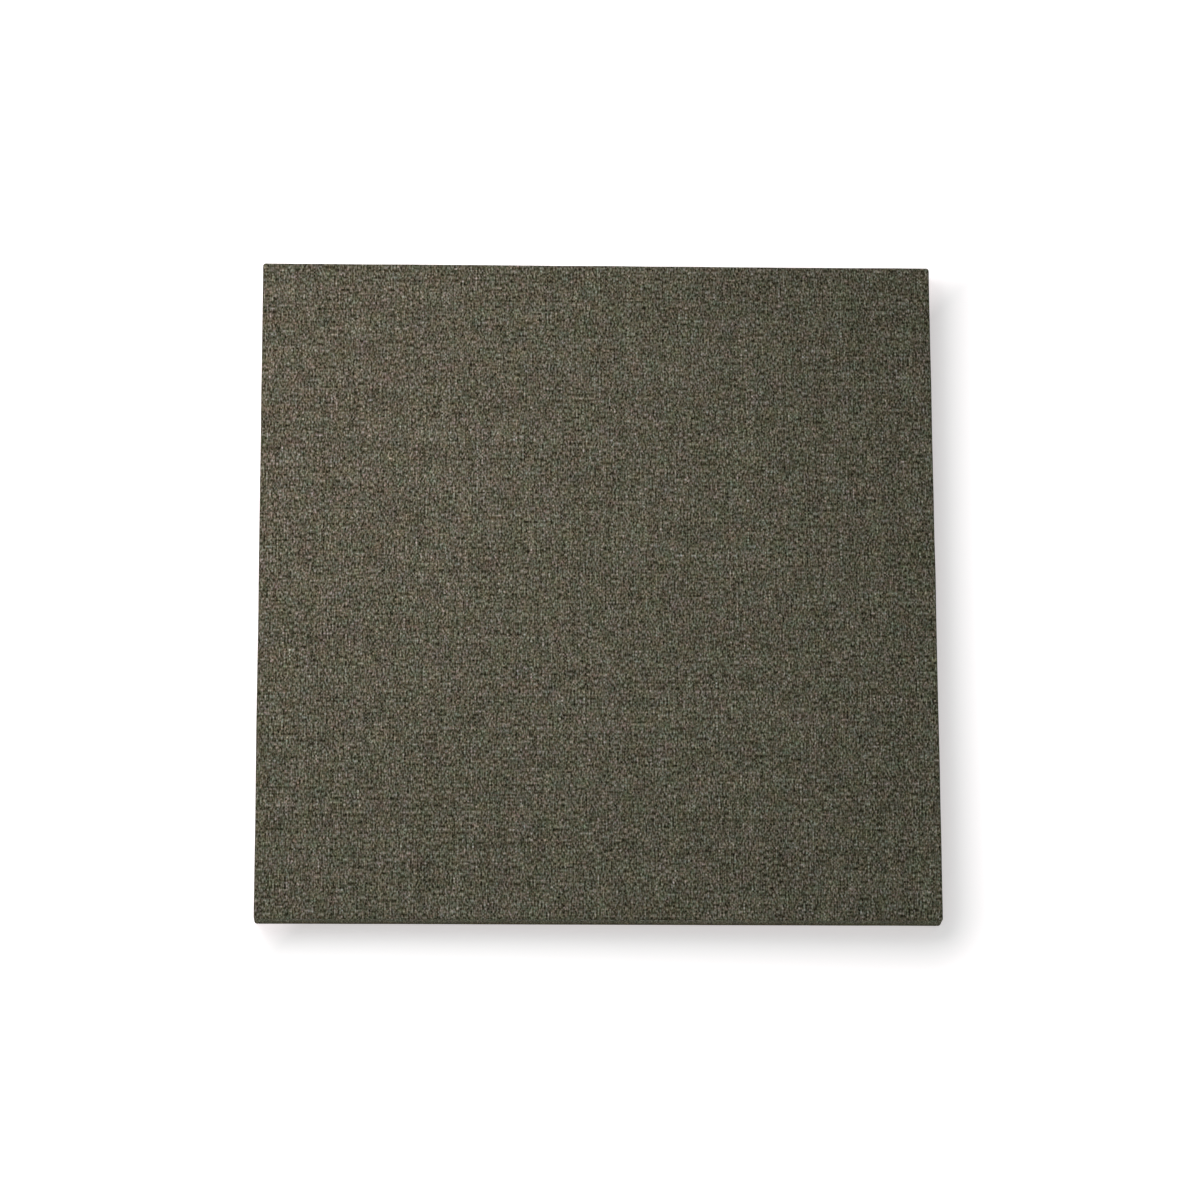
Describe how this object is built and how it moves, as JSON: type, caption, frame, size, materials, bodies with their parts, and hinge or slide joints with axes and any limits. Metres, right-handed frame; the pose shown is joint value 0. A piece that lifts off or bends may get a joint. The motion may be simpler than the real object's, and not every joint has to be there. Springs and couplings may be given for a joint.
{
  "type": "fabric acoustic wall panel",
  "caption": "Square acoustic wall panel: a glass-fibre board wrapped in heathered grey-brown woven cloth, square edges, cloth folded onto the back.",
  "frame": {"origin": "on the floor, under the centre of the panel, which lies on its back", "axes": "+X across the panel, +Y up the wall that it would hang on, +Z out of its cloth face"},
  "size_m": [0.6096, 0.6096, 0.0254],
  "materials": {
    "heathered_cloth": "matt heathered plain weave, grey-brown with olive, warm brown and dark flecks",
    "glass_fibre_board": "matt pressed glass wool"
  },
  "bodies": {
    "root": {"fabric_wrap": "heathered_cloth", "core_board": "glass_fibre_board"}
  },
  "joints": []
}
